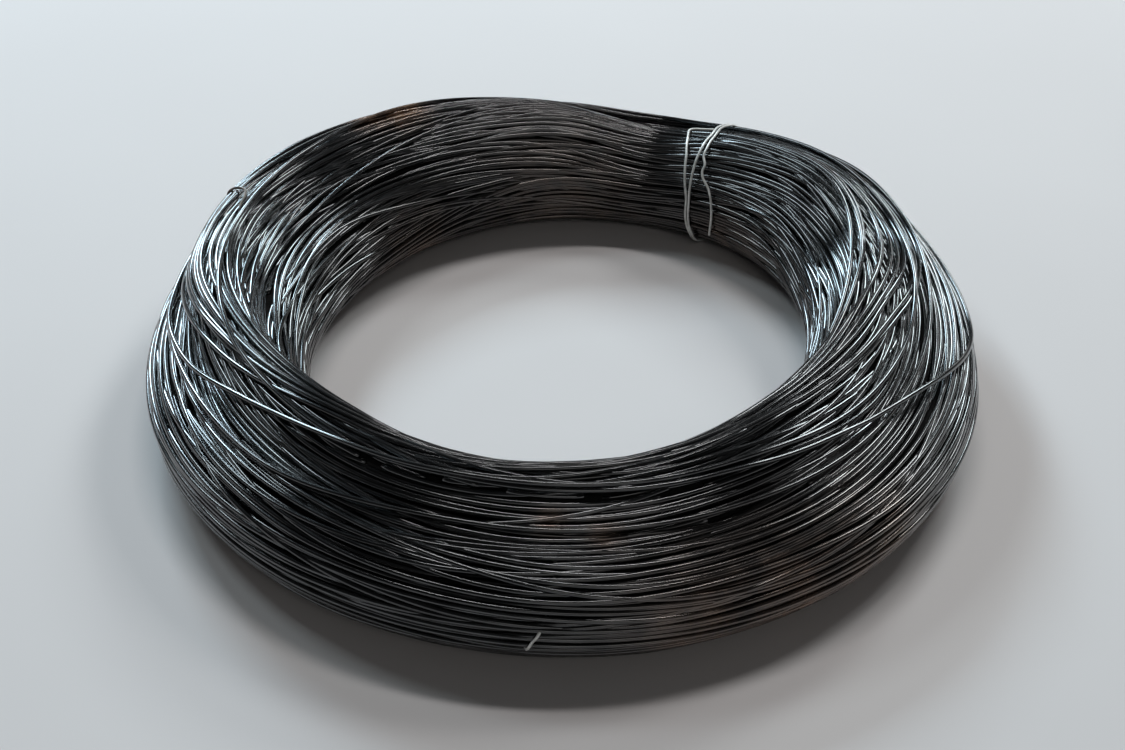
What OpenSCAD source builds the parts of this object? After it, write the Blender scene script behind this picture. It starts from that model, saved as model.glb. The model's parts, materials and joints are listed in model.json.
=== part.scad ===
// Coil of black annealed wire, tied at three places, as it lies on the floor.
// Millimetres. The origin is on the floor at the centre of the eye and Z runs up the coil's axis.
// Y runs away from the side that the picture was taken from.

/* [Wire] */
// Diameter of the coiled wire
wire_d = 3; // [2.4:0.1:3.6]
// Spacing of neighbouring turns, as a share of the wire diameter
turn_pitch_share = 0.97; // [0.93:0.01:0.98]
// How far a turn stands out of the core, as a share of the wire's radius
stand_out_share = 0.5; // [0.4:0.05:0.7]

/* [Coil] */
// Outer diameter over the turns
outer_d = 500; // [470:5:540]
// Clear diameter of the eye
eye_d = 308; // [280:2:330]
// Height from the floor to the top turn
coil_h = 84; // [74:1:96]
// Rounding of the bundle at its outer lower edge
outer_low_r = 34; // [20:1:40]
// Rounding of the bundle at its outer upper edge
outer_top_r = 46; // [24:1:50]
// Rounding of the bundle at its inner upper edge
inner_top_r = 34; // [20:1:40]
// Rounding of the bundle at its inner lower edge
inner_low_r = 26; // [16:1:32]
// Depth of the flats that the floor and the winding drum press on the turns
press_flat = 0.15; // [0.1:0.01:0.25]

/* [Ties] */
// Diameter of the tie wire
tie_d = 1.6; // [1.2:0.1:2]
// Gap between a tie and the crests of the turns
tie_gap = 0.3; // [0.2:0.05:0.6]
// Direction of the back tie, in degrees from the X axis
back_tie_turn = 57; // [50:1:64]
// Direction of the left tie, in degrees from the X axis
left_tie_turn = 157; // [150:1:164]
// Direction of the front tie, in degrees from the X axis
front_tie_turn = 266; // [260:1:272]

/* [Hidden] */
$fn = 96;

wire_r = wire_d / 2;
tie_r = tie_d / 2;
full = 360;
quarter = 90;

// The bundle, with the turns that get flats drawn a little too far out.
far_r = outer_d / 2;
near_r = eye_d / 2 - press_flat;
bundle_w = far_r - near_r;
bundle_h = coil_h + press_flat;

// The four rounded edges in order: outer low, outer top, inner top, inner low.
// All four shrink together where the bundle gets too small for them.
stated_radii = [outer_low_r, outer_top_r, inner_top_r, inner_low_r];
room = [bundle_h, bundle_w, bundle_h, bundle_w];
fit_share = min([1, for (j = [0 : 3]) room[j] / (stated_radii[j] + stated_radii[(j + 1) % 4])]);
edge_radii = stated_radii * fit_share;
edge_centres = [
  [far_r - edge_radii[0], edge_radii[0] - press_flat],
  [far_r - edge_radii[1], coil_h - edge_radii[1]],
  [near_r + edge_radii[2], coil_h - edge_radii[2]],
  [near_r + edge_radii[3], edge_radii[3] - press_flat]
];

// The outline of the bundle is four straight sides, each followed by a rounded edge.
// Side 0 is the floor side, 1 the outside, 2 the top and 3 the wall of the eye.
function dir(a) = [cos(a), sin(a)];
function on_rim(edge, a, grow) = edge_centres[edge] + (edge_radii[edge] + grow) * dir(a);
function side_start(j, grow) = on_rim((j + 3) % 4, quarter * (j - 1), grow);
function side_end(j, grow) = on_rim(j, quarter * (j - 1), grow);
function side_length(j) = norm(side_end(j, 0) - side_start(j, 0));
function edge_length(j, grow) = PI / 2 * (edge_radii[j] + grow);
function piece_length(k, grow) = k % 2 == 0 ? side_length(k / 2) : edge_length((k - 1) / 2, grow);
function outline_length(grow, k = 0) = k == 8 ? 0 : piece_length(k, grow) + outline_length(grow, k + 1);

// Point and outward direction at the distance s along the outline, which is moved outward by grow.
function on_side(j, s, grow) = [
  side_start(j, grow) + s * dir(quarter * j),
  dir(quarter * (j - 1))
];
function on_edge(j, s, grow) =
  let (a = quarter * (j - 1) + quarter * s / edge_length(j, grow))
  [on_rim(j, a, grow), dir(a)];
function on_outline(s, grow, k = 0) =
  s > piece_length(k, grow) && k < 7 ? on_outline(s - piece_length(k, grow), grow, k + 1)
  : k % 2 == 0 ? on_side(k / 2, s, grow)
  : on_edge((k - 1) / 2, s, grow);

// The turns that show, spaced evenly round the bundle, and the core that they stand out of.
turn_path = outline_length(-wire_r);
turn_count = ceil(turn_path / (wire_d * turn_pitch_share));
turn_shares = [for (i = [1 : turn_count]) (i - 1 / 2) / turn_count];
turns = [for (share = turn_shares) on_outline(turn_path * share, -wire_r)];
core_outline = [for (turn = turns) turn[0] + turn[1] * wire_r * (1 - stand_out_share)];

// A tie follows the outline with room for its own thickness. It stays just above the floor below
// and just behind the eye's clear diameter, so that the eye is clear.
tie_off = tie_r + tie_gap;
tie_path = outline_length(tie_off);
tie_sides = 8;
tie_step = 4;
flush_gap = 0.1;
least_tie_z = tie_r + flush_gap;
least_tie_r = eye_d / 2 + tie_r + flush_gap;

// Room for the ties under the bundle and in the wall of the eye.
slot_clear = 0.8;
slot_depth = tie_d + slot_clear;
slot_overrun = 4;

// Direction of each tie, and the least and most degrees to the side that it takes up
// below and then in the eye.
tie_places = [
  [back_tie_turn, [-1.1, 2], [-7.2, 3.2]],
  [left_tie_turn, [-1.1, 0.5], [-0.6, 1.5]],
  [front_tie_turn, [-2.4, -1.1], [-1, 1.4]]
];

// Route of each tie, in rows of: share of a trip round the bundle, degrees to the side,
// and lift as a share of the tie's diameter. A trip starts below and goes up through the eye.
back_shares = [
  [0.215, -6.6, 0.2], [0.265, -6.4, 0.1], [0.30, -4.9, 0], [0.32, -3.7, 0.2], [0.337, -1.9, 0.4],
  [0.35, -1.3, 0.4], [0.363, -1.9, 0.2], [0.381, -0.3, 0.1], [0.404, 0, 0], [0.45, 0.2, 0],
  [0.476, 0.5, 0], [0.62, 0.8, 0], [0.90, 0.2, 0], [1.06, -0.6, 0], [1.20, -0.6, 0],
  [1.24, 0.2, 0], [1.27, 0.5, 0], [1.36, 1.0, 0], [1.45, 1.2, 0], [1.62, 2.2, 0],
  [1.90, 1.4, 0], [2.06, 0.4, 0], [2.20, 0.2, 0], [2.24, 1.2, 0], [2.28, 1.5, 0],
  [2.37, 4.0, 0], [2.445, 6.2, 0], [2.458, 6.3, 0.1], [2.466, 5.0, 0.2], [2.468, 2.0, 0.2]
];
left_shares = [
  [0.47, 5.5, 0], [0.53, 2.4, 0], [0.60, -1.4, 0], [0.75, -1.0, 0], [1.25, 0.4, 0], [1.42, 2.0, 0]
];
front_shares = [
  [0.46, 3.0, 0], [0.60, 3.0, 0], [0.70, 2.6, 0], [0.742, 1.3, 0], [0.787, -0.6, 0],
  [0.86, -2.0, 0], [1.06, -1.6, 0], [1.25, 0.4, 0], [1.43, 2.0, 0]
];

function ease(x) = x * x * (3 - 2 * x);
function row_at(rows, t, i = 0) =
  i + 2 < len(rows) && t > rows[i + 1][0] ? row_at(rows, t, i + 1)
  : let (x = (t - rows[i][0]) / (rows[i + 1][0] - rows[i][0]))
    rows[i] + (rows[i + 1] - rows[i]) * ease(x);

// One point of a tie's centre line and the outward direction there.
function tie_place(rows, t) =
  let (
    row = row_at(rows, t),
    trips = len(rows) + side_length(0) / tie_path / 2 - t,
    spot = on_outline((trips - floor(trips)) * tie_path, tie_off),
    lifted = spot[0] + row[2] * tie_d * spot[1],
    r = max(lifted[0], least_tie_r),
    z = max(lifted[1], least_tie_z),
    side = dir(row[1])
  )
  [[r * side[0], r * side[1], z], [spot[1][0] * side[0], spot[1][0] * side[1], spot[1][1]]];

function unit(v) = v / norm(v);
function tie_ring(rows, t, dt) =
  let (
    here = tie_place(rows, t),
    along = unit(tie_place(rows, t + dt)[0] - tie_place(rows, t - dt)[0]),
    side = unit(cross(along, here[1])),
    out = cross(side, along)
  )
  [
    for (k = [0 : tie_sides - 1])
      let (a = k * full / tie_sides)
      here[0] + tie_r * (out * cos(a) + side * sin(a))
  ];

// One turned solid: the turns that show stand out of a plain core.
module coil() {
  color("#26282b")
    difference() {
      rotate_extrude()
        intersection() {
          union() {
            polygon(core_outline);
            for (turn = turns) translate(turn[0]) circle(d = wire_d);
          }
          translate([eye_d / 2, 0]) square([bundle_w, coil_h]);
        }
      for (place = tie_places)
        rotate(place[0]) {
          slot(place[1], bundle_w + slot_overrun, slot_depth);
          slot(place[2], eye_d / 2 - near_r + slot_depth, coil_h);
        }
    }
}

// Room for one tie, from the inside of the eye and the floor to this far out and up.
module slot(degrees, out, up) {
  rotate(degrees[0])
    rotate_extrude(angle = degrees[1] - degrees[0])
      translate([near_r - slot_overrun, -slot_overrun])
        square([out + slot_overrun, up + slot_overrun]);
}

// A tie as one length of wire along its route.
module tie(rows) {
  trips = rows[len(rows) - 1][0] - rows[0][0];
  count = ceil(trips * tie_path / tie_step);
  dt = trips / count;
  rings = [for (i = [0 : count]) tie_ring(rows, rows[0][0] + i * dt, dt / 4)];
  walls = [
    for (i = [0 : count - 1], k = [0 : tie_sides - 1], half = [0, 1])
      let (a = i * tie_sides + k, b = i * tie_sides + (k + 1) % tie_sides)
      half == 0 ? [a, b, b + tie_sides] : [a, b + tie_sides, a + tie_sides]
  ];
  ends = [
    [for (k = [tie_sides - 1 : -1 : 0]) k],
    [for (k = [0 : tie_sides - 1]) count * tie_sides + k]
  ];
  polyhedron([for (ring = rings, p = ring) p], concat(walls, ends));
}

// Bright tie wrapped twice, with its loose end hanging in the eye.
module back_tie() {
  color("#c4c7c9") rotate(back_tie_turn) tie(back_shares);
}

// Dark tie round the left of the coil.
module left_tie() {
  color("#3a3a3c") rotate(left_tie_turn) tie(left_shares);
}

// Bright tie round the front of the coil.
module front_tie() {
  color("#c4c7c9") rotate(front_tie_turn) tie(front_shares);
}

coil();
back_tie();
left_tie();
front_tie();
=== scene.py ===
"""Looks of a coil of black annealed wire: its loose turns, its three ties and a plain stage."""
import json
import math

import bpy
import numpy as np
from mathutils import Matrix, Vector


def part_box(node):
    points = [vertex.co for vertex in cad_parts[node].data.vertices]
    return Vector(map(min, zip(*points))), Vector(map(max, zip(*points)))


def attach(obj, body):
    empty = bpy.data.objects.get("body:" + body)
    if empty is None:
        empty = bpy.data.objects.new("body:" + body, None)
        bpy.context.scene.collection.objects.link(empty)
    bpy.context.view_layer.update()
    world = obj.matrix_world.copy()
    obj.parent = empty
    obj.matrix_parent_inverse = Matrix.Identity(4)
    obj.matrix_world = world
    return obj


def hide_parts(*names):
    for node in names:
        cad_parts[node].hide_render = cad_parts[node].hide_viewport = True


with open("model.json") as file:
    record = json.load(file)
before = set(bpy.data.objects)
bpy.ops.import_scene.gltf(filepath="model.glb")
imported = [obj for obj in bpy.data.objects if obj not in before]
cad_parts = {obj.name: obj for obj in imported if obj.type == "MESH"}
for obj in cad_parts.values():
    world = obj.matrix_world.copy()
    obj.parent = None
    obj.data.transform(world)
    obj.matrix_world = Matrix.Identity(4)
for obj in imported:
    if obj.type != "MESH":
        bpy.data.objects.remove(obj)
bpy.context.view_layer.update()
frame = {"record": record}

# Sizes in metres, the outer ones from the frame
MM = 0.001
WIRE_D = 3.0 * MM
WIRE_R = WIRE_D / 2
TIE_D = 1.6 * MM
TIE_R = TIE_D / 2
coil_low, coil_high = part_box("coil")
OUTER_R = (coil_high.x - coil_low.x) / 2
HEIGHT = coil_high.z
EYE_R = next(m["dims"]["r_mm"] for m in frame["record"]["mounts"] if m["name"] == "eye") * MM
FULL_TURN = 2 * math.pi
QUARTER_TURN = math.pi / 2

# Rounded edges of the section, in order: outer low, outer top, inner top, inner low
EDGE_RADII = np.array([34, 46, 34, 26]) * MM
EDGE_CENTRES = np.array([
    [OUTER_R - EDGE_RADII[0], EDGE_RADII[0]],
    [OUTER_R - EDGE_RADII[1], HEIGHT - EDGE_RADII[1]],
    [EYE_R + EDGE_RADII[2], HEIGHT - EDGE_RADII[2]],
    [EYE_R + EDGE_RADII[3], EDGE_RADII[3]],
])

# The finished bundle is two rings: a low wide one, and a narrow one on top that lies towards the eye
# at the front and away from it at the back. Each size is a mean in millimetres, and waves round the coil:
# cosine and sine of the turn, then of twice and of three times the turn.
LOWER_OUTER = (249, [(-1.5, 0), (1.5, -1)])
LOWER_INNER = (156, [(-2, 2), (-5.5, 7.5)])
LOWER_HALF_H = (32, [(1, 1.5), (-1.5, 2.5)])
LOWER_POWER = 2.4
UPPER_MID = (192, [(-12.5, 22.5), (3, -4.5), (2.5, 6)])
UPPER_TOP = (80, [(-1.5, 1.5), (-1, 1)])
UPPER_HALF_W = 18 * MM
UPPER_HALF_H = 24 * MM
UPPER_POWER = 2.2

# The back tie pulls the bundle down, and it bulges beside that.
# Rows of degrees round the coil, reach in degrees, and share of the height.
PULLS = [(73, 15, -0.17), (34, 13, 0.07)]

# The bundle's surface is a height over a reference outline, which lies this far inside the section.
# It is kept by steps round the coil and by cells along the outline.
INSET = 5.0 * MM
CELL = 0.5 * MM
TURN_STEPS = 240
TURN = np.arange(TURN_STEPS) * FULL_TURN / TURN_STEPS
ROWS = np.arange(TURN_STEPS)

# The finished surface: heights that are tried, slope of its sides, and softening round and along
LOWEST = -26 * MM
HIGHEST = 14 * MM
HEIGHT_STEP = 1.0 * MM
STEEPEST = 0.6
SLOPE_PASSES = 60
GOAL_SOFT_ROUND = 3
GOAL_SOFT_ALONG = 6
STAND_PROUD = 0.4 * MM

# Outward directions of the section that count as facing the floor and as facing up
FACES_DOWN = -0.2
FACES_UP = 0.02

# A bell curve is cut off at this many times its width
BELL_REACH = 3

rng = np.random.default_rng(5)


# Section of the bundle

def piece_lengths(grow):
    """Lengths of the section's sides and rounded edges by turns, moved outward by grow."""
    low_w = EDGE_CENTRES[0, 0] - EDGE_CENTRES[3, 0]
    outer_h = EDGE_CENTRES[1, 1] - EDGE_CENTRES[0, 1]
    top_w = EDGE_CENTRES[1, 0] - EDGE_CENTRES[2, 0]
    eye_h = EDGE_CENTRES[2, 1] - EDGE_CENTRES[3, 1]
    edges = QUARTER_TURN * (EDGE_RADII + grow)
    return np.array([low_w, edges[0], outer_h, edges[1], top_w, edges[2], eye_h, edges[3]])


def on_outline(place, grow):
    """Points and outward directions this far along the section's outline, moved outward by grow."""
    lengths = piece_lengths(grow)
    ends = np.cumsum(lengths)
    piece = np.minimum(np.searchsorted(ends, place, side="right"), len(lengths) - 1)
    along = place - (ends - lengths)[piece]
    side = piece // 2
    is_edge = piece % 2 == 1
    angle = (side - 1 + np.where(is_edge, along / lengths[piece], 0)) * QUARTER_TURN
    out = np.stack([np.cos(angle), np.sin(angle)], 1)
    forward = np.stack([-np.sin(angle), np.cos(angle)], 1)
    edge = np.where(is_edge, side, side - 1)
    straight = np.where(is_edge, 0, along)
    return EDGE_CENTRES[edge] + (EDGE_RADII[edge] + grow)[:, None] * out + straight[:, None] * forward, out


SECTION_LENGTH = piece_lengths(-INSET).sum()
CELLS = int(SECTION_LENGTH / CELL)
CELL_W = SECTION_LENGTH / CELLS
SECTION, SECTION_OUT = on_outline(np.arange(CELLS) * CELL_W, -INSET)
CURVE = np.linalg.norm(np.roll(SECTION_OUT, -1, 0) - np.roll(SECTION_OUT, 1, 0), axis=1) / (2 * CELL_W)


def waved(size, turn):
    """A size in metres at this turn, from its mean and its waves."""
    mean, waves = size
    total = mean + 0 * turn
    for k, (cosine, sine) in enumerate(waves, start=1):
        total = total + cosine * np.cos(k * turn) + sine * np.sin(k * turn)
    return total * MM


def tied_height(turn):
    """Height of the tied bundle as a share of its height before the back tie pulls on it."""
    share = 1 + 0 * turn
    for degrees, reach, rise in PULLS:
        away = (np.degrees(turn) - degrees + 180) % 360 - 180
        share = share + rise * np.exp(-(away / reach) ** 2)
    return share


def in_lower_ring(r, z, turn):
    outer = waved(LOWER_OUTER, turn)
    inner = waved(LOWER_INNER, turn)
    half_h = waved(LOWER_HALF_H, turn)
    across = np.abs(2 * r - outer - inner) / (outer - inner)
    up = np.abs(z - half_h) / half_h
    return across ** LOWER_POWER + up ** LOWER_POWER < 1


def in_upper_ring(r, z, turn):
    across = np.abs(r - waved(UPPER_MID, turn)) / UPPER_HALF_W
    up = np.abs(z - waved(UPPER_TOP, turn) + UPPER_HALF_H) / UPPER_HALF_H
    return across ** UPPER_POWER + up ** UPPER_POWER < 1


def finished_height():
    """How far the finished bundle stands out of the reference outline, by turn and by place."""
    heights = np.arange(LOWEST, HIGHEST, HEIGHT_STEP)
    best = np.full((TURN_STEPS, CELLS), heights[0])
    for height in heights:
        spot = SECTION + height * SECTION_OUT
        r, z, turn = spot[None, :, 0], spot[None, :, 1], TURN[:, None]
        best[in_lower_ring(r, z, turn) | in_upper_ring(r, z, turn)] = height
    down = np.minimum(SECTION_OUT[:, 1], FACES_DOWN)
    floor = np.where(SECTION_OUT[:, 1] < FACES_DOWN, -SECTION[:, 1] / down, heights[-1])
    for _ in range(SLOPE_PASSES):
        beside = np.maximum(np.roll(best, 1, axis=1), np.roll(best, -1, axis=1))
        best = np.maximum(best, beside - STEEPEST * CELL_W)
    best = np.minimum(best, floor)
    return blur(blur(best, GOAL_SOFT_ROUND, axis=0), GOAL_SOFT_ALONG, axis=1) - STAND_PROUD


def top_place(r):
    """Place on the upper side of the section at this distance from the axis."""
    upper = np.nonzero(SECTION_OUT[:, 1] > FACES_UP)[0]
    return np.interp(-r, -SECTION[upper, 0], upper * CELL_W)


def blur(values, width, axis=0):
    """Average with a bell curve this many steps wide, round a closed row."""
    reach = np.arange(-int(BELL_REACH * width), int(BELL_REACH * width) + 1)
    weight = np.exp(-0.5 * (reach / width) ** 2)
    weight /= weight.sum()
    return sum(w * np.roll(values, k, axis=axis) for w, k in zip(weight, reach))


def pulled(values, width):
    """Average with a bell curve along an open row."""
    reach = int(BELL_REACH * width)
    padded = np.pad(values, reach, mode="edge")
    return blur(padded, width)[reach:-reach]


# Winding: each turn is laid into the hollows of the ones below it

# How deep the turns fill the bundle, how far one may peak over its finished surface, and how steeply
# one dives where it would stand higher than that
FILL_DEPTH = 8.0 * MM
PEAK = 1.5 * MM
DIVE = 2.5

# Cells on both sides of a wire that it may cover, and limits to the width of a cell at the surface
FOOT_CELLS = 8
FOOT = np.arange(-FOOT_CELLS, FOOT_CELLS + 1)
LEAST_SCALE = 0.4
MOST_SCALE = 2

# A springy turn bridges hollows: passes of smoothing, their width in steps, and that of the last one
SPRING_PASSES = 5
SPRING = 3.2
SPRING_EASE = 2.2

# Drift of a turn: how closely it follows the ridge of the upper ring, and its second and third wave
RIDGE = top_place(waved(UPPER_MID, TURN))
RIDGE_REACH = 32 * MM
RIDGE_FOLLOW = (0.8, 1.1)
DRIFT_SIZES = (1.8 * MM, 0.9 * MM)
RIPPLE_WAVES = np.arange(3, 10)
RIPPLE = 0.2 * MM

# Search for a path: steps round the coil, cells to a step along the section, limits of the room that
# counts, chance in choosing the start, cost of a bend, longest move, and softening of the path
SEEK_STEPS = 60
SEEK_CELLS = 2
ROOM_LIMITS = (-4, 2)
DEEPEST_CHANCE = 0.3
START_CHANCE = 0.35
SEEK_STIFF = 0.03
SEEK_REACH = 7
PATH_SOFT = 1.6
FINE_PATH_SOFT = 3.0

# Groups of turns: spread of the pitch in wire diameters, how much it swells, its softening,
# shares of the tint that a group and each turn have of their own, and failed tries before it stops
PITCH = (0.94, 1.06)
SWELL = 0.25
PITCH_SOFT = 4
GROUP_TINT = 0.6
OWN_TINT = 0.4
MOST_MISSES = 80

# Loose turns that lie across the others: degrees round the coil, distance from the axis in millimetres
STRAYS = [
    [(20, 232), (90, 236), (140, 242), (177, 242), (195, 234), (212, 227), (223, 226), (230, 223),
     (238, 215), (250, 207), (285, 204), (310, 206), (330, 212), (350, 222)],
    [(20, 244), (60, 236), (120, 222), (180, 205), (220, 190), (260, 186), (300, 190), (324, 200),
     (332, 214), (340, 231), (345, 238), (352, 244)],
    [(20, 222), (90, 236), (150, 240), (180, 240), (193, 233), (201, 226), (208, 206), (225, 192),
     (260, 186), (300, 186), (340, 200)],
]
STRAY_TINT = 0.7
LAID_SOFT = 4

# Edges of the band of turns on the crest, in the same way, and how far it stands up at the left and right
CREST_INNER = [
    (0, 171), (12, 183), (28, 199), (45, 202), (70, 206), (100, 212), (130, 214), (152, 212), (165, 207),
    (175, 202), (188, 190), (199, 181), (208, 175), (225, 168), (245, 164), (295, 164), (340, 162),
    (352, 165),
]
CREST_OUTER = [
    (2, 220), (12, 234), (25, 236), (45, 232), (70, 228), (100, 228), (130, 232), (155, 236), (172, 241),
    (183, 229), (196, 208), (206, 198), (214, 189), (225, 181), (237, 177), (255, 172), (295, 171),
    (318, 175), (329, 179), (341, 188), (355, 201),
]
CREST_TURNS = 14
CREST_RISE = 3.5 * MM
CREST_SWAY = 0.1
CREST_TINT = (0.3, 1)


def slow_drift(row, start, spread):
    """Slow drift of a turn. Near the ridge of the upper ring it runs along the ridge."""
    aside = (start - RIDGE[row] + SECTION_LENGTH / 2) % SECTION_LENGTH - SECTION_LENGTH / 2
    follow = math.exp(-(aside / RIDGE_REACH) ** 2) * rng.uniform(*RIDGE_FOLLOW)
    drift = follow * (RIDGE - RIDGE.mean())
    for wave, size in enumerate((spread, *DRIFT_SIZES), start=1):
        drift = drift + rng.normal(0, size) * np.cos(wave * TURN - rng.uniform(0, FULL_TURN))
    return drift


def ripple():
    """Small waves of one turn."""
    size = rng.normal(0, RIPPLE, len(RIPPLE_WAVES))
    phase = rng.uniform(0, FULL_TURN, len(RIPPLE_WAVES))
    return (size * np.cos(TURN[:, None] * RIPPLE_WAVES - phase)).sum(1)


def pick_start(room, deepest):
    """Step round the coil and place where a turn starts: the deepest hollow, or a deep one anywhere."""
    if deepest:
        noisy = room + rng.normal(0, DEEPEST_CHANCE, room.shape)
        first, start = np.unravel_index(np.argmax(noisy), room.shape)
        return int(first), int(start)
    first = int(rng.integers(SEEK_STEPS))
    return first, int(np.argmax(room[first] + rng.normal(0, START_CHANCE, room.shape[1])))


def best_moves(room, bent, start):
    """For each step and place, the move there that leaves a path from the start with the most room."""
    places = np.arange(room.shape[1])
    best = np.full(len(places), -np.inf)
    best[start] = 0
    moves = np.arange(-SEEK_REACH, SEEK_REACH + 1)
    taken = np.zeros(room.shape, int)
    for i in range(SEEK_STEPS):
        options = np.stack([np.roll(best, m) - SEEK_STIFF * (m - bent[i]) ** 2 for m in moves])
        pick = np.argmax(options, axis=0)
        taken[i] = moves[pick]
        best = options[pick, places] + room[(i + 1) % SEEK_STEPS]
    return taken


def walk_back(taken, start):
    """Closed path that these moves make, read back from its end at the start."""
    path = np.zeros(SEEK_STEPS + 1)
    place = start
    for i in range(SEEK_STEPS - 1, -1, -1):
        move = taken[i][place]
        path[i] = path[i + 1] - move
        place = (place - move) % len(taken[i])
    path -= path[0]
    return path[:-1] - path[-1] * np.arange(SEEK_STEPS) / SEEK_STEPS


class Bundle:
    """The surface of the bundle as it grows, and the turns laid so far."""

    def __init__(self):
        self.goal = finished_height()
        self.surface = self.goal - FILL_DEPTH
        self.turns = []

    def cells(self, place):
        return np.round(place / CELL_W).astype(int) % CELLS

    def scale(self, place):
        """Width of a cell at the bundle's surface, as a share of its width on the reference outline."""
        cell = self.cells(place)
        return np.clip(1 + self.surface[ROWS, cell] * CURVE[cell], LEAST_SCALE, MOST_SCALE)

    def footprint(self, place):
        """Cells near a wire laid here, how thick its upper half is over each, and which ones it covers."""
        near = (self.cells(place)[:, None] + FOOT) % CELLS
        away = FOOT * CELL_W * self.scale(place)[:, None]
        rise = np.sqrt(np.maximum(WIRE_R ** 2 - away ** 2, 0))
        return near, rise, np.abs(away) < WIRE_R

    def lay(self, place, tint, least_shown):
        """Lay a springy turn if enough of it shows, and tell whether it was laid.

        It dives where the bundle is full, unless any share that shows is enough.
        """
        near, rise, covered = self.footprint(place)
        before = self.surface[ROWS[:, None], near]
        rest = np.where(covered, before + rise, -HEIGHT).max(1)
        over = rest + WIRE_R - self.goal[ROWS, self.cells(place)] - PEAK
        if (over < 0).mean() < least_shown:
            return False
        if least_shown:
            rest = rest - DIVE * np.maximum(over, 0)
        height = rest
        for _ in range(SPRING_PASSES):
            height = np.maximum(rest, blur(height, SPRING))
        height = blur(height, SPRING_EASE)
        after = np.maximum(before, height[:, None] + rise)
        self.surface[ROWS[:, None], near] = np.where(covered, after, before)
        self.turns.append((place, height, tint))
        return True

    def seek(self, spread, deepest):
        """Path once round that keeps to the hollows, with a bent to drift."""
        step = SEEK_CELLS * CELL_W
        rows = ROWS[:: TURN_STEPS // SEEK_STEPS]
        room = np.clip((self.goal - self.surface)[rows][:, ::SEEK_CELLS] / WIRE_D, *ROOM_LIMITS)
        first, start = pick_start(room, deepest)
        drift = slow_drift(rows[first], start * step, spread)
        bent = np.roll(np.diff(np.append(drift[rows], drift[0])), -first) / step
        path = walk_back(best_moves(np.roll(room, -first, axis=0), bent, start), start)
        path = blur(np.roll(path, first), PATH_SOFT) + start
        fine = np.arange(TURN_STEPS) * SEEK_STEPS / TURN_STEPS
        path = np.interp(fine, np.arange(SEEK_STEPS + 1), np.append(path, path[0])) * step
        return blur(path, FINE_PATH_SOFT)

    def fill(self, tries, most, spread, least_shown, deepest=False):
        """Lay groups of turns into the hollows until the bundle is about full."""
        misses = 0
        for _ in range(tries):
            path = self.seek(spread, deepest)
            swell = 1 + rng.uniform(0, SWELL) * np.cos(TURN - rng.uniform(0, FULL_TURN))
            side = rng.choice((-1, 1))
            pitch = side * rng.uniform(*PITCH) * WIRE_D * swell / blur(self.scale(path), PITCH_SOFT)
            tint = rng.uniform(0, 1)
            misses += 1
            for i in range(int(rng.integers(1, most + 1))):
                place = path + i * pitch + ripple()
                if not self.lay(place, GROUP_TINT * tint + OWN_TINT * rng.uniform(0, 1), least_shown):
                    break
                misses = 0
            if misses > MOST_MISSES:
                return


def laid_over(spots):
    """Place on the section, all round the coil, of a turn through these spots."""
    degrees, r = np.array(spots, float).T
    return blur(np.interp(np.degrees(TURN), degrees, top_place(r * MM), period=360), LAID_SOFT)


def lay_crest(bundle):
    """Lay the band of turns that stands up along the crest."""
    bundle.goal += CREST_RISE * np.cos(TURN[:, None]) ** 2
    inner, outer = laid_over(CREST_INNER), laid_over(CREST_OUTER)
    for share in rng.permutation(np.linspace(0, 1, CREST_TURNS)):
        share = share + CREST_SWAY * np.cos(TURN - rng.uniform(0, FULL_TURN))
        place = inner + share * (outer - inner) + ripple()
        bundle.lay(place, rng.uniform(*CREST_TINT), least_shown=0.02)


def wind():
    """The whole bundle: loose groups first, then single turns into the hollows, the crest and the strays."""
    bundle = Bundle()
    bundle.fill(tries=150, most=5, spread=5 * MM, least_shown=0.5)
    bundle.fill(tries=100, most=2, spread=3 * MM, least_shown=0.3)
    bundle.fill(tries=250, most=1, spread=2 * MM, least_shown=0.02, deepest=True)
    lay_crest(bundle)
    for spots in STRAYS:
        bundle.lay(laid_over(spots), tint=STRAY_TINT, least_shown=0)
    return bundle


# Meshes

def swung(flat, turn, least_z):
    """Points of the section plane swung round the coil's axis."""
    up = np.maximum(flat[:, 1] * tied_height(turn), least_z)
    return np.stack([flat[:, 0] * np.cos(turn), flat[:, 0] * np.sin(turn), up], 1)


def turn_line(place, height):
    """Centre line of a turn, and the direction out of the bundle along it."""
    cell = place / CELL_W
    low = np.floor(cell).astype(int)
    share = (cell - low)[:, None]
    spot = SECTION[low % CELLS] * (1 - share) + SECTION[(low + 1) % CELLS] * share
    out = SECTION_OUT[low % CELLS] * (1 - share) + SECTION_OUT[(low + 1) % CELLS] * share
    spot = spot + height[:, None] * out
    return swung(spot, TURN, WIRE_R), swung(out, TURN, -1)


def unit(vectors):
    return vectors / np.linalg.norm(vectors, axis=1)[:, None]


def tube(line, out, radius, sides, closed):
    """Vertices and quads of a round wire along a line."""
    if closed:
        along = np.roll(line, -1, 0) - np.roll(line, 1, 0)
    else:
        along = np.gradient(line, axis=0)
    along = unit(along)
    across = unit(np.cross(along, out))
    up = np.cross(across, along)
    angle = np.arange(sides) * FULL_TURN / sides
    ring = np.cos(angle)[None, :, None] * up[:, None] + np.sin(angle)[None, :, None] * across[:, None]
    verts = (line[:, None] + radius * ring).reshape(-1, 3)
    count = len(line)
    step, side = np.meshgrid(np.arange(count if closed else count - 1), np.arange(sides), indexing="ij")
    here, there = step * sides, (step + 1) % count * sides
    ahead = (side + 1) % sides
    quads = np.stack([here + side, here + ahead, there + ahead, there + side], -1).reshape(-1, 4)
    if not closed:
        cap = np.array([[i, sides - 1 - i, sides - 2 - i, i + 1] for i in range(sides // 2 - 1)])
        quads = np.concatenate([quads, cap, cap[:, ::-1] + (count - 1) * sides])
    return verts, quads


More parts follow.
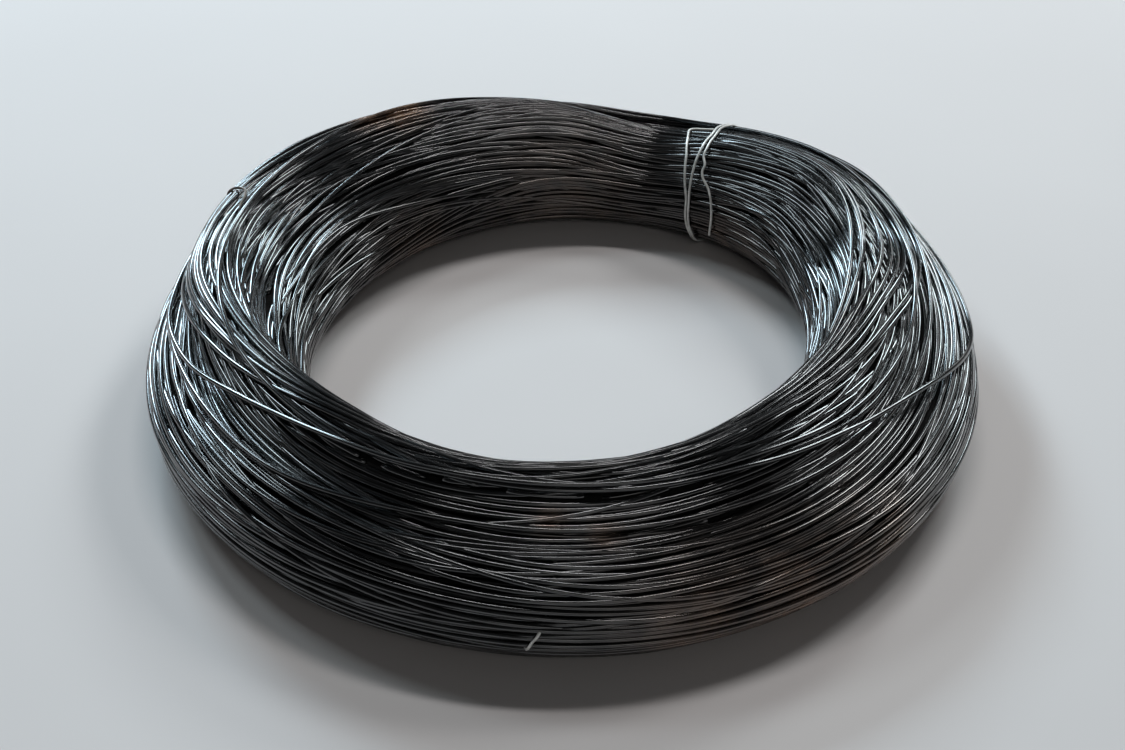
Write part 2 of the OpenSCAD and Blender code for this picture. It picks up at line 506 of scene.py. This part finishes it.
def new_mesh(name, verts, quads, material, **values):
    """Mesh object from arrays, with one number per vertex for each extra value."""
    mesh = bpy.data.meshes.new(name)
    mesh.vertices.add(len(verts))
    mesh.vertices.foreach_set("co", verts.astype(np.float32).ravel())
    mesh.loops.add(quads.size)
    mesh.loops.foreach_set("vertex_index", quads.astype(np.int32).ravel())
    mesh.polygons.add(len(quads))
    mesh.polygons.foreach_set("loop_start", np.arange(0, quads.size, 4, dtype=np.int32))
    mesh.polygons.foreach_set("use_smooth", np.ones(len(quads), bool))
    for key, numbers in values.items():
        mesh.attributes.new(key, "FLOAT", "POINT").data.foreach_set("value", numbers.astype(np.float32))
    mesh.update(calc_edges=True)
    mesh.materials.append(material)
    obj = bpy.data.objects.new(name, mesh)
    bpy.context.scene.collection.objects.link(obj)
    return obj


def join(parts):
    """One set of vertices and quads, with a tint for each vertex, from several."""
    start = np.cumsum([0] + [len(verts) for verts, _, _ in parts])
    verts = np.concatenate([verts for verts, _, _ in parts])
    quads = np.concatenate([quads + s for (_, quads, _), s in zip(parts, start)])
    tint = np.concatenate([np.full(len(verts), tint) for verts, _, tint in parts])
    return verts, quads, tint


# Turns that show, cut where they run deeper than this under others, with a margin in steps
WIRE_SIDES = 8
HIDDEN_DEPTH = 1.6 * WIRE_D
SHOWN_MARGIN = 1.5
SHOWN_LEAST = 0.01
SHORTEST_RUN = 3


def shown_runs(shown):
    """Runs of steps round the coil where a turn shows, or None where it shows all the way round."""
    if shown.all():
        return None
    order = (np.argmin(shown) + ROWS) % TURN_STEPS
    change = np.diff(shown[order].astype(int), prepend=0, append=0)
    starts = np.nonzero(change == 1)[0]
    ends = np.nonzero(change == -1)[0]
    return [order[a:b] for a, b in zip(starts, ends) if b - a > SHORTEST_RUN]


def turn_tubes(bundle):
    """Tubes of every stretch of turn that shows, by the place of the turn on the section."""
    found = []
    for place, height, tint in bundle.turns:
        depth = bundle.surface[ROWS, bundle.cells(place)] - height - WIRE_R
        shown = blur((depth < HIDDEN_DEPTH).astype(float), SHOWN_MARGIN) > SHOWN_LEAST
        line, out = turn_line(place, height)
        runs = shown_runs(shown)
        for run in [ROWS] if runs is None else runs:
            verts, quads = tube(line[run], out[run], WIRE_R, WIRE_SIDES, closed=runs is None)
            found.append((place.mean() % SECTION_LENGTH, (verts, quads, tint)))
    return found


# Rusty places: degrees round the coil, then distance from the axis, height and reach in millimetres,
# and strength
RUSTY_PLACES = [
    (120, 224, 82, 14, 0.9),
    (126, 224, 82, 10, 0.8),
    (288, 248, 24, 40, 0.35),
    (300, 247, 20, 40, 0.45),
    (312, 247, 18, 36, 0.4),
    (268, 198, 64, 7, 0.5),
    (276, 206, 63, 7, 0.5),
    (90, 160, 16, 60, 0.2),
    (130, 160, 10, 34, 0.35),
    (48, 160, 10, 30, 0.3),
]


def rust_at(verts):
    """How rusty each point is, from a few places where the coil has rusted."""
    rust = np.zeros(len(verts))
    for degrees, r, z, reach, strength in RUSTY_PLACES:
        turn = math.radians(degrees)
        spot = np.array([r * math.cos(turn), r * math.sin(turn), z]) * MM
        away = np.linalg.norm(verts - spot, axis=1) / (reach * MM)
        rust = np.maximum(rust, strength * np.exp(-away ** 2))
    return rust


# Pieces of the coil by place round the section, as shares of its length
PIECE_ENDS = {
    "turns_floor": 0.16,
    "turns_outside": 0.33,
    "turns_shoulder": 0.47,
    "turns_top": 0.62,
    "turns_brow": 0.77,
    "turns_eye": 1.0,
}


def make_turns(bundle, material):
    """The turns that show, as one mesh for each part of the section."""
    found = turn_tubes(bundle)
    low = 0
    pieces = []
    for name, high in PIECE_ENDS.items():
        parts = [part for place, part in found if low <= place / SECTION_LENGTH < high]
        verts, quads, tint = join(parts)
        pieces.append(new_mesh(name, verts, quads, material, tint=tint, rust=rust_at(verts)))
        low = high
    return pieces


# The skin inside: its depth, its steps round and along, and its softening round and along
CORE_DEPTH = 2.3 * WIRE_D
CORE_STEP_ROUND = 2
CORE_STEP_ALONG = 4
CORE_SOFT_ROUND = 2
CORE_SOFT_ALONG = 6


def make_core(bundle, material):
    """Inner turns as one closed skin in painted shade, near-black and dull, so that nothing shows through
    the gaps.
    """
    skin = blur(blur(bundle.surface, CORE_SOFT_ROUND, axis=0), CORE_SOFT_ALONG, axis=1) - CORE_DEPTH
    rows = ROWS[::CORE_STEP_ROUND]
    cells = np.arange(0, CELLS - CORE_STEP_ALONG + 1, CORE_STEP_ALONG)
    spots = SECTION[cells] + skin[rows][:, cells, None] * SECTION_OUT[cells]
    verts = np.concatenate([swung(spot, TURN[row], WIRE_R) for spot, row in zip(spots, rows)])
    i, j = np.meshgrid(np.arange(len(rows)), np.arange(len(cells)), indexing="ij")
    i2, j2 = (i + 1) % len(rows), (j + 1) % len(cells)
    n = len(cells)
    quads = np.stack([i * n + j, i2 * n + j, i2 * n + j2, i * n + j2], -1).reshape(-1, 4)
    return new_mesh("turns_inside", verts, quads, material)


# Ties: rows of share of a trip round the section, degrees to the side, lift in tie diameters.
# A trip starts below and goes up through the eye. Where the lift is below zero, turns cover the tie.
BACK_TIE_DEG = 57
LEFT_TIE_DEG = 157
FRONT_TIE_DEG = 266
COVERED = -6.0
BACK_ROUTE = [
    (0.175, -3.8, 0.3), (0.243, -4.2, 0.3), (0.286, -3.2, 0.2), (0.316, -2.1, 0.2), (0.347, -0.1, 0.4),
    (0.373, 0.7, 0.4), (0.393, 0.4, 0.3), (0.422, 1.8, 0.3), (0.444, 1.8, 0.3), (0.49, 2.1, 0.3),
    (0.54, 2.8, 0.3), (0.62, 2.6, 0.0), (0.90, 1.0, 0.0), (1.06, 1.0, 0.0), (1.147, 1.3, 0.0),
    (1.219, 2.4, 0.0), (1.253, 2.4, 0.0), (1.306, 2.6, 0.0), (1.407, 3.0, 0.3), (1.462, 3.0, 0.3),
    (1.50, 3.0, 0.3), (1.54, 3.6, 0.3), (1.62, 3.6, 0.0), (1.90, 1.8, 0.0), (2.06, 1.6, 0.0),
    (2.147, 1.9, 0.0), (2.219, 3.1, 0.0), (2.263, 3.1, 0.0), (2.42, 5.7, 0.2), (2.505, 8.2, 0.3),
    (2.518, 8.4, 0.4), (2.526, 7.2, 0.5), (2.532, 5.2, 0.5), (2.538, 3.8, 0.5),
]
LEFT_ROUTE = [
    (0.535, 5.5, 0.0), (0.538, 4.7, 0.0), (0.544, 2.9, 0.0), (0.548, 1.5, -0.3), (0.559, -0.6, 0.0),
    (0.57, -1.0, 0.4), (0.59, -1.3, 0.5), (0.62, -1.5, 0.0), (0.65, -1.5, COVERED), (0.75, -1.2, COVERED),
    (1.25, 0.4, COVERED), (1.42, 2.0, COVERED),
]
FRONT_ROUTE = [
    (0.46, 3.0, COVERED), (0.70, 2.6, COVERED), (0.742, 1.6, COVERED), (0.752, 1.2, 0.1), (0.768, 0.5, 0.2),
    (0.774, 0.3, -1.0), (0.78, 0.1, 0.2), (0.797, -0.6, 0.2), (0.808, -0.9, COVERED), (0.86, -2.0, COVERED),
    (1.06, -1.6, COVERED), (1.25, 0.4, COVERED), (1.43, 2.0, COVERED),
]
TIE_STEP = 1.2 * MM
TIE_SIDES = 10
TIE_GAP = 0.3 * MM
TIE_OFF = TIE_R + TIE_GAP

# Softening of a tie's route, and how it bridges the hollows between turns, in steps
ROUTE_SOFT = 1.5
TIE_PASSES = 6
TIE_SPRING = 7
TIE_EASE = 3


def tie_line(bundle, route, degrees):
    """Centre line of a tie drawn over the bundle, and the direction out of the bundle along it."""
    route = np.array(route)
    trip = piece_lengths(TIE_OFF)
    ref = piece_lengths(-INSET)
    legs = np.hypot(np.diff(route[:, 0]) * trip.sum(), np.radians(np.diff(route[:, 1])) * OUTER_R)
    walk = np.append(0, np.cumsum(legs))
    steps = np.linspace(0, walk[-1], int(walk[-1] / TIE_STEP))
    share, aside, lift = (pulled(np.interp(steps, walk, column), ROUTE_SOFT) for column in route.T)
    walked = (trip[0] / 2 - share * trip.sum()) % trip.sum()
    place = np.interp(walked, np.append(0, np.cumsum(trip)), np.append(0, np.cumsum(ref)))
    turn = np.radians(degrees + aside)
    row = np.round(turn / FULL_TURN * TURN_STEPS).astype(int) % TURN_STEPS
    cell = np.round(place / CELL_W).astype(int)
    reach = int(TIE_R / CELL_W)
    under = [bundle.surface[row, (cell + k) % CELLS] for k in range(-reach, reach + 1)]
    least = np.max(under, axis=0) + TIE_R
    height = least
    for _ in range(TIE_PASSES):
        height = np.maximum(least, pulled(height, TIE_SPRING))
    height = pulled(height, TIE_EASE) + lift * TIE_D
    spot, out = on_outline(place, -INSET)
    spot = spot + height[:, None] * out
    return swung(spot, turn, TIE_R), swung(out, turn, -1)


def make_tie(bundle, name, route, degrees, material):
    line, out = tie_line(bundle, route, degrees)
    verts, quads = tube(line, out, TIE_R, TIE_SIDES, closed=False)
    return new_mesh(name + "_wire", verts, quads, material)


# Materials

# Levels between which most of a noise lies, and the middle of it
MOST_NOISE = (0.3, 0.7)
MID_NOISE = (0.35, 0.65)

# Sockets of a mix node that carry its share and its colours
MIX_SHARE = 0
MIX_COLOURS = (6, 7)
MIX_RESULT = 2


def new_material(name):
    material = bpy.data.materials.new(name)
    material.use_nodes = True
    return material, material.node_tree, material.node_tree.nodes["Principled BSDF"]


def node(tree, kind, **settings):
    made = tree.nodes.new(kind)
    for key, value in settings.items():
        setattr(made, key, value)
    return made


def noise(tree, scale, detail=3.0):
    """Noise with this many cells to a metre."""
    place = node(tree, "ShaderNodeTexCoord")
    made = node(tree, "ShaderNodeTexNoise")
    made.inputs["Scale"].default_value = scale
    made.inputs["Detail"].default_value = detail
    tree.links.new(place.outputs["Object"], made.inputs["Vector"])
    return made.outputs["Fac"]


def ranged(tree, value, given, wanted):
    """A value moved from one pair of limits to another."""
    made = node(tree, "ShaderNodeMapRange")
    for key, number in zip(("From Min", "From Max", "To Min", "To Max"), (*given, *wanted)):
        made.inputs[key].default_value = number
    tree.links.new(value, made.inputs["Value"])
    return made.outputs["Result"]


def attribute(tree, name):
    return node(tree, "ShaderNodeAttribute", attribute_name=name).outputs["Fac"]


def math_node(tree, operation, a, b):
    """Sum or product of two sockets."""
    made = node(tree, "ShaderNodeMath", operation=operation)
    for socket, value in zip(made.inputs, (a, b)):
        tree.links.new(value, socket)
    return made.outputs["Value"]


def mixed(tree, share, a, b):
    """Mix of two colours, each a tuple or a socket."""
    made = node(tree, "ShaderNodeMix", data_type="RGBA")
    tree.links.new(share, made.inputs[MIX_SHARE])
    for index, value in zip(MIX_COLOURS, (a, b)):
        if isinstance(value, tuple):
            made.inputs[index].default_value = (*value, 1)
        else:
            tree.links.new(value, made.inputs[index])
    return made.outputs[MIX_RESULT]


def bumped(tree, shader, height, strength, distance):
    made = node(tree, "ShaderNodeBump")
    made.inputs["Strength"].default_value = strength
    made.inputs["Distance"].default_value = distance
    tree.links.new(height, made.inputs["Height"])
    tree.links.new(made.outputs["Normal"], shader.inputs["Normal"])


# Tones of the wire, cells of noise to a metre, and limits of tone, roughness and metal, clean to rusty
OXIDE_DARK = (0.014, 0.014, 0.015)
OXIDE_GREY = (0.062, 0.063, 0.065)
RUST = (0.30, 0.155, 0.075)
OXIDE_CLOUD = 60.0
OXIDE_GRAIN = 120.0
RUST_PATCH = 60.0
RUBBED = (0.4, 1.3)
SATIN = (0.15, 0.20)
METALLIC = (0.92, 0.25)
RUST_DULL = 0.3


def oxide_material():
    """Black annealed steel: dark scale with a satin sheen, greyer where it has rubbed, and a little rust."""
    material, tree, shader = new_material("black_oxide")
    cloud = noise(tree, OXIDE_CLOUD)
    grain = noise(tree, OXIDE_GRAIN, detail=1.0)
    rubbed = ranged(tree, cloud, MOST_NOISE, RUBBED)
    tone = math_node(tree, "MULTIPLY", attribute(tree, "tint"), rubbed)
    colour = mixed(tree, tone, OXIDE_DARK, OXIDE_GREY)
    patch = ranged(tree, noise(tree, RUST_PATCH, detail=4.0), MOST_NOISE, (0.2, 1.0))
    rust = math_node(tree, "MULTIPLY", attribute(tree, "rust"), patch)
    tree.links.new(mixed(tree, rust, colour, RUST), shader.inputs["Base Color"])
    tree.links.new(ranged(tree, rust, (0.0, 1.0), METALLIC), shader.inputs["Metallic"])
    satin = ranged(tree, grain, MOST_NOISE, SATIN)
    dull = ranged(tree, rust, (0.0, 1.0), (0.0, RUST_DULL))
    tree.links.new(math_node(tree, "ADD", satin, dull), shader.inputs["Roughness"])
    shader.inputs["Coat Weight"].default_value = 1.0
    shader.inputs["Coat Roughness"].default_value = 0.10
    return material


# Painted shade between the turns: near-black tones of the skin inside
SHADE_TONES = ((0.010, 0.010, 0.010), (0.018, 0.018, 0.018))
SHADE_PATCH = 300.0


def shade_material():
    """The turns inside as painted shade: a near-black dull skin that shows as shade between the outer ones.
    """
    material, tree, shader = new_material("inner_shade")
    tone = ranged(tree, noise(tree, SHADE_PATCH), MOST_NOISE, (0.0, 1.0))
    tree.links.new(mixed(tree, tone, *SHADE_TONES), shader.inputs["Base Color"])
    shader.inputs["Roughness"].default_value = 0.95
    shader.inputs["Specular IOR Level"].default_value = 0.1
    return material


# Tie wires
ZINC_TONES = ((0.84, 0.83, 0.80), (0.66, 0.65, 0.62))
ZINC_PATCH = 220.0
DARK_TIE_TONES = ((0.05, 0.048, 0.046), (0.11, 0.08, 0.065))
DARK_TIE_PATCH = 240.0
DRAWN_GRAIN = 900.0
DRAWN_PITS = 1600.0
PIT_STRENGTH = 0.1
PIT_DEPTH = 0.04 * MM


def tie_material(name, tones, patch_scale, metallic, roughness):
    """Drawn tie wire with patches of two tones, a fine grain and faint pits."""
    material, tree, shader = new_material(name)
    patch = ranged(tree, noise(tree, patch_scale), MID_NOISE, (0.0, 1.0))
    tree.links.new(mixed(tree, patch, *tones), shader.inputs["Base Color"])
    shader.inputs["Metallic"].default_value = metallic
    grain = noise(tree, DRAWN_GRAIN)
    tree.links.new(ranged(tree, grain, MOST_NOISE, roughness), shader.inputs["Roughness"])
    bumped(tree, shader, noise(tree, DRAWN_PITS), PIT_STRENGTH, PIT_DEPTH)
    return material


def zinc_material():
    """Bright galvanised tie wire with faint dull patches."""
    return tie_material("zinc", ZINC_TONES, ZINC_PATCH, metallic=0.3, roughness=(0.28, 0.42))


def dark_tie_material():
    """Black annealed tie wire, a little browner than the coil."""
    name = "dark_tie_oxide"
    return tie_material(name, DARK_TIE_TONES, DARK_TIE_PATCH, metallic=0.8, roughness=(0.3, 0.5))


# Stage

FLOOR_TONES = ((0.66, 0.62, 0.61), (0.68, 0.64, 0.63))
FLOOR_PATCH = 3.0
FLOOR_HALF = 3.4


def add_floor():
    material, tree, shader = new_material("pale_floor")
    tone = ranged(tree, noise(tree, FLOOR_PATCH), MOST_NOISE, (0.0, 1.0))
    tree.links.new(mixed(tree, tone, *FLOOR_TONES), shader.inputs["Base Color"])
    shader.inputs["Roughness"].default_value = 0.9
    verts = FLOOR_HALF * np.array([[-1, -1, 0], [1, -1, 0], [1, 1, 0], [-1, 1, 0]])
    floor = new_mesh("floor", verts, np.array([[0, 1, 2, 3]]), material)


# Lamps: place and size in metres, watts and colour
LAMPS = {
    "top_lamp": ((0.2, 1.4, 3.7), (1.8, 0.3), 38, (1.0, 1.0, 1.0)),
    "front_lamp": ((0.6, -2.7, 2.4), (1.8, 1.0), 7, (1.0, 0.99, 0.96)),
    "back_left_lamp": ((-1.40, 2.84, 1.92), (1.1, 0.8), 90, (0.68, 0.88, 1.0)),
    "back_right_lamp": ((1.45, 2.68, 2.02), (0.7, 0.7), 34, (0.86, 0.97, 1.0)),
    "left_lamp": ((-2.0, 1.5, 2.6), (0.7, 0.7), 20, (0.80, 0.94, 1.0)),
    "right_lamp": ((1.8, 1.7, 2.6), (0.7, 0.7), 25, (0.95, 0.99, 1.0)),
}


def add_lamp(name, spot, size, watts, colour):
    lamp = bpy.data.lights.new(name, "AREA")
    lamp.shape = "RECTANGLE"
    lamp.size, lamp.size_y = size
    lamp.energy = watts
    lamp.color = colour
    obj = bpy.data.objects.new(name, lamp)
    obj.location = spot
    obj.rotation_euler = (Vector((0, 0, HEIGHT / 2)) - Vector(spot)).to_track_quat("-Z", "Y").to_euler()
    bpy.context.scene.collection.objects.link(obj)


def add_light():
    for name, (spot, size, watts, colour) in LAMPS.items():
        add_lamp(name, spot, size, watts, colour)


# The world: colours of its wall and of the light above, and the sines of the heights where the wall fades
BACKDROP = (0.86, 0.86, 0.86)
FILL_LIGHT = (0.036, 0.038, 0.039)
WALL_FADE = (0.04, 0.24)


def add_world():
    """A faint even light, and a pale wall all round that the camera and the gloss of the wires see."""
    world = bpy.data.worlds.new("studio")
    world.use_nodes = True
    tree = world.node_tree
    path = node(tree, "ShaderNodeLightPath").outputs
    seen = math_node(tree, "ADD", path["Is Camera Ray"], path["Is Glossy Ray"])
    seen = math_node(tree, "ADD", seen, path["Is Transmission Ray"])
    way = node(tree, "ShaderNodeSeparateXYZ")
    tree.links.new(node(tree, "ShaderNodeTexCoord").outputs["Generated"], way.inputs["Vector"])
    wall = ranged(tree, way.outputs["Z"], WALL_FADE, (1.0, 0.0))
    share = math_node(tree, "MULTIPLY", seen, wall)
    tree.links.new(mixed(tree, share, FILL_LIGHT, BACKDROP), tree.nodes["Background"].inputs["Color"])
    bpy.context.scene.world = world


# The camera, at the height and distance that the picture was taken from
CAMERA_AIM = Vector((-1.0 * MM, -50.1 * MM, 44.4 * MM))
CAMERA_AWAY = 987.4 * MM
CAMERA_UP_DEG = 38.3
LENS_MM = 54.0
SENSOR_MM = 36.0


def add_camera():
    up = math.radians(CAMERA_UP_DEG)
    camera = bpy.data.cameras.new("camera")
    camera.sensor_width = SENSOR_MM
    camera.lens = LENS_MM
    obj = bpy.data.objects.new("camera", camera)
    obj.location = CAMERA_AIM + CAMERA_AWAY * Vector((0, -math.cos(up), math.sin(up)))
    obj.rotation_euler = (QUARTER_TURN - up, 0, 0)
    bpy.context.scene.collection.objects.link(obj)
    bpy.context.scene.camera = obj


# The coil and its ties

def make_coil():
    oxide = oxide_material()
    bundle = wind()
    pieces = make_turns(bundle, oxide) + [make_core(bundle, shade_material())]
    for piece in pieces:
        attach(piece, "root")
    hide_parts("coil")
    return bundle


def make_ties(bundle):
    zinc = zinc_material()
    dark = dark_tie_material()
    for name, route, degrees, material, slot in (
        ("back_tie", BACK_ROUTE, BACK_TIE_DEG, zinc, "bright_tie"),
        ("left_tie", LEFT_ROUTE, LEFT_TIE_DEG, dark, "dark_tie"),
        ("front_tie", FRONT_ROUTE, FRONT_TIE_DEG, zinc, "bright_tie"),
    ):
        tie = make_tie(bundle, name, route, degrees, material)
        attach(tie, "root")
        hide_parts(name)


bpy.context.scene.view_settings.view_transform = "Standard"
add_camera()
add_floor()
add_light()
add_world()
make_ties(make_coil())
